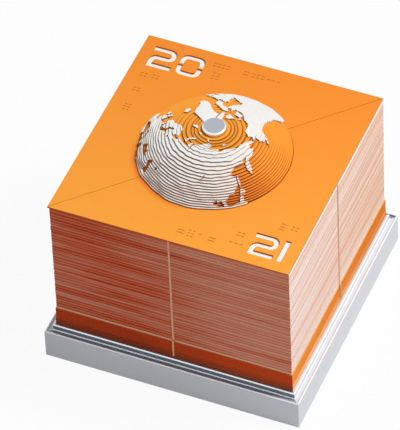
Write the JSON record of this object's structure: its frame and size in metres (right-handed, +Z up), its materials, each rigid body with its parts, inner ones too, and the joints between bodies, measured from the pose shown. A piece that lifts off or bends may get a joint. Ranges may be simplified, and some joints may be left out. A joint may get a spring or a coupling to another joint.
{
  "type": "paper sculpture desk calendar",
  "caption": "Tear-off desk calendar: a square block of diagonally cut paper leaves on a silver tray, with a layered paper globe rising through its orange cover.",
  "frame": {"origin": "on the surface it stands on, under the middle of the base", "axes": "+Z up along the spindle; the reader sits on the -Y side; +X to the reader's right"},
  "size_m": [0.1018, 0.1018, 0.093],
  "materials": {
    "silver_moulding": "satin silver",
    "dark_moulding": "fine grain",
    "plated_steel": "zinc plated",
    "bright_cap": "satin with a bright bevel",
    "rubber": "matt",
    "orange_board": "dyed through, cut edge",
    "white_card": "cut edge",
    "orange_paper": "dyed through, matt",
    "white_paper": "uncoated, matt",
    "cover_card": "dyed through, matt",
    "leaf_block": "cut edges of orange and white leaves"
  },
  "bodies": {
    "stand": {"tray": "silver_moulding", "deck": "silver_moulding", "bottom_cover": "dark_moulding", "cover_screws": "plated_steel", "rubber_feet": "rubber", "spindle": "plated_steel", "spindle_nut": "plated_steel", "pole_cap": "bright_cap", "lower_board": "orange_board", "upper_board": "orange_board", "white_card": "white_card", "plinth": "orange_paper", "dome_sea_1": "orange_paper", "dome_sea_2": "orange_paper", "dome_sea_3": "orange_paper", "dome_sea_4": "orange_paper", "dome_sea_5": "orange_paper", "dome_sea_6": "orange_paper", "globe_sea_north": "orange_paper", "globe_sea_equator": "orange_paper", "globe_sea_south": "orange_paper", "dome_land_1": "white_paper", "dome_land_2": "white_paper", "dome_land_3": "white_paper", "dome_land_4": "white_paper", "dome_land_5": "white_paper", "dome_land_6": "white_paper", "globe_land_north": "white_paper", "globe_land_equator": "white_paper", "globe_land_south": "white_paper"},
    "cover_front": {"cover_front": "cover_card"},
    "cover_back": {"cover_back": "cover_card"},
    "january_front": {"january_front": "leaf_block"},
    "january_back": {"january_back": "leaf_block"},
    "february_front": {"february_front": "leaf_block"},
    "february_back": {"february_back": "leaf_block"},
    "march_front": {"march_front": "leaf_block"},
    "march_back": {"march_back": "leaf_block"},
    "april_front": {"april_front": "leaf_block"},
    "april_back": {"april_back": "leaf_block"},
    "may_front": {"may_front": "leaf_block"},
    "may_back": {"may_back": "leaf_block"},
    "june_front": {"june_front": "leaf_block"},
    "june_back": {"june_back": "leaf_block"},
    "july_front": {"july_front": "leaf_block"},
    "july_back": {"july_back": "leaf_block"},
    "august_front": {"august_front": "leaf_block"},
    "august_back": {"august_back": "leaf_block"},
    "september_front": {"september_front": "leaf_block"},
    "september_back": {"september_back": "leaf_block"},
    "october_front": {"october_front": "leaf_block"},
    "october_back": {"october_back": "leaf_block"},
    "november_front": {"november_front": "leaf_block"},
    "november_back": {"november_back": "leaf_block"},
    "december_front": {"december_front": "leaf_block"},
    "december_back": {"december_back": "leaf_block"}
  },
  "joints": [
    {"name": "cover_front_lift", "type": "slide", "parent": "stand", "child": "cover_front", "axis": [0, 0, 1], "range_m": [0, 0.04]},
    {"name": "cover_back_lift", "type": "slide", "parent": "stand", "child": "cover_back", "axis": [0, 0, 1], "range_m": [0, 0.04]},
    {"name": "january_front_pull", "type": "slide", "parent": "stand", "child": "january_front", "axis": [0.7071, -0.7071, 0], "range_m": [0, 0.075]},
    {"name": "january_back_pull", "type": "slide", "parent": "stand", "child": "january_back", "axis": [-0.7071, 0.7071, 0], "range_m": [0, 0.075]},
    {"name": "february_front_pull", "type": "slide", "parent": "stand", "child": "february_front", "axis": [0.7071, -0.7071, 0], "range_m": [0, 0.075]},
    {"name": "february_back_pull", "type": "slide", "parent": "stand", "child": "february_back", "axis": [-0.7071, 0.7071, 0], "range_m": [0, 0.075]},
    {"name": "march_front_pull", "type": "slide", "parent": "stand", "child": "march_front", "axis": [0.7071, -0.7071, 0], "range_m": [0, 0.075]},
    {"name": "march_back_pull", "type": "slide", "parent": "stand", "child": "march_back", "axis": [-0.7071, 0.7071, 0], "range_m": [0, 0.075]},
    {"name": "april_front_pull", "type": "slide", "parent": "stand", "child": "april_front", "axis": [0.7071, -0.7071, 0], "range_m": [0, 0.075]},
    {"name": "april_back_pull", "type": "slide", "parent": "stand", "child": "april_back", "axis": [-0.7071, 0.7071, 0], "range_m": [0, 0.075]},
    {"name": "may_front_pull", "type": "slide", "parent": "stand", "child": "may_front", "axis": [0.7071, -0.7071, 0], "range_m": [0, 0.075]},
    {"name": "may_back_pull", "type": "slide", "parent": "stand", "child": "may_back", "axis": [-0.7071, 0.7071, 0], "range_m": [0, 0.075]},
    {"name": "june_front_pull", "type": "slide", "parent": "stand", "child": "june_front", "axis": [0.7071, -0.7071, 0], "range_m": [0, 0.075]},
    {"name": "june_back_pull", "type": "slide", "parent": "stand", "child": "june_back", "axis": [-0.7071, 0.7071, 0], "range_m": [0, 0.075]},
    {"name": "july_front_pull", "type": "slide", "parent": "stand", "child": "july_front", "axis": [0.7071, -0.7071, 0], "range_m": [0, 0.075]},
    {"name": "july_back_pull", "type": "slide", "parent": "stand", "child": "july_back", "axis": [-0.7071, 0.7071, 0], "range_m": [0, 0.075]},
    {"name": "august_front_pull", "type": "slide", "parent": "stand", "child": "august_front", "axis": [0.7071, -0.7071, 0], "range_m": [0, 0.075]},
    {"name": "august_back_pull", "type": "slide", "parent": "stand", "child": "august_back", "axis": [-0.7071, 0.7071, 0], "range_m": [0, 0.075]},
    {"name": "september_front_pull", "type": "slide", "parent": "stand", "child": "september_front", "axis": [0.7071, -0.7071, 0], "range_m": [0, 0.075]},
    {"name": "september_back_pull", "type": "slide", "parent": "stand", "child": "september_back", "axis": [-0.7071, 0.7071, 0], "range_m": [0, 0.075]},
    {"name": "october_front_pull", "type": "slide", "parent": "stand", "child": "october_front", "axis": [0.7071, -0.7071, 0], "range_m": [0, 0.075]},
    {"name": "october_back_pull", "type": "slide", "parent": "stand", "child": "october_back", "axis": [-0.7071, 0.7071, 0], "range_m": [0, 0.075]},
    {"name": "november_front_pull", "type": "slide", "parent": "stand", "child": "november_front", "axis": [0.7071, -0.7071, 0], "range_m": [0, 0.075]},
    {"name": "november_back_pull", "type": "slide", "parent": "stand", "child": "november_back", "axis": [-0.7071, 0.7071, 0], "range_m": [0, 0.075]},
    {"name": "december_front_pull", "type": "slide", "parent": "stand", "child": "december_front", "axis": [0.7071, -0.7071, 0], "range_m": [0, 0.075]},
    {"name": "december_back_pull", "type": "slide", "parent": "stand", "child": "december_back", "axis": [-0.7071, 0.7071, 0], "range_m": [0, 0.075]}
  ]
}
